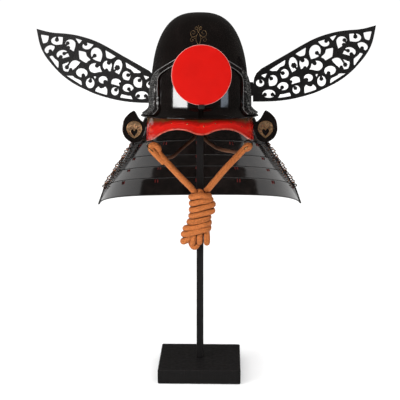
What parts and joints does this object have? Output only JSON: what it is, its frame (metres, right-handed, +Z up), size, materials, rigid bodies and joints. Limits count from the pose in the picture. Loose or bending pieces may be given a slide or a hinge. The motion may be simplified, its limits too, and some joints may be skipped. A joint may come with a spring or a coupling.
{
  "type": "kabuto samurai helmet on display stand",
  "caption": "Lacquered samurai helmet with pierced side wings, round crest, laced neck guard and knotted chin cord, on a square-based post stand.",
  "frame": {"origin": "middle of the stand base's underside, under the post", "axes": "+Z up along the post, -Y towards the helmet's front, +X towards the wing on the viewer's right"},
  "size_m": [0.7378, 0.4049, 0.7944],
  "materials": {
    "black_lacquer": "gloss",
    "red_lacquer": "gloss",
    "gilt": "satin",
    "matte_black": "matte",
    "orange_cord": "braided",
    "brown_cord": "braided"
  },
  "bodies": {
    "root": {"stand_base": "matte_black", "stand_post": "matte_black", "stand_seat": "matte_black", "bowl": "black_lacquer", "brow_band": "black_lacquer", "brow_plate": "red_lacquer", "crest_disc": "red_lacquer", "crest_clip": "black_lacquer", "wing_left": "matte_black", "wing_right": "matte_black", "wing_socket_left": "matte_black", "wing_socket_right": "matte_black", "turnback_left": "black_lacquer", "turnback_right": "black_lacquer", "plaque_left": "gilt", "plaque_right": "gilt", "neck_lame_1": "black_lacquer", "neck_lame_2": "black_lacquer", "neck_lame_3": "black_lacquer", "neck_lame_4": "black_lacquer", "neck_lame_5": "black_lacquer", "ring_lug_left": "black_lacquer", "ring_lug_right": "black_lacquer", "cord_ring_left": "black_lacquer", "cord_ring_right": "black_lacquer", "cord_ring_back": "black_lacquer", "cord_left": "orange_cord", "cord_right": "orange_cord", "cord_rear_left": "brown_cord", "cord_rear_right": "brown_cord", "cord_hank": "orange_cord"}
  },
  "joints": []
}
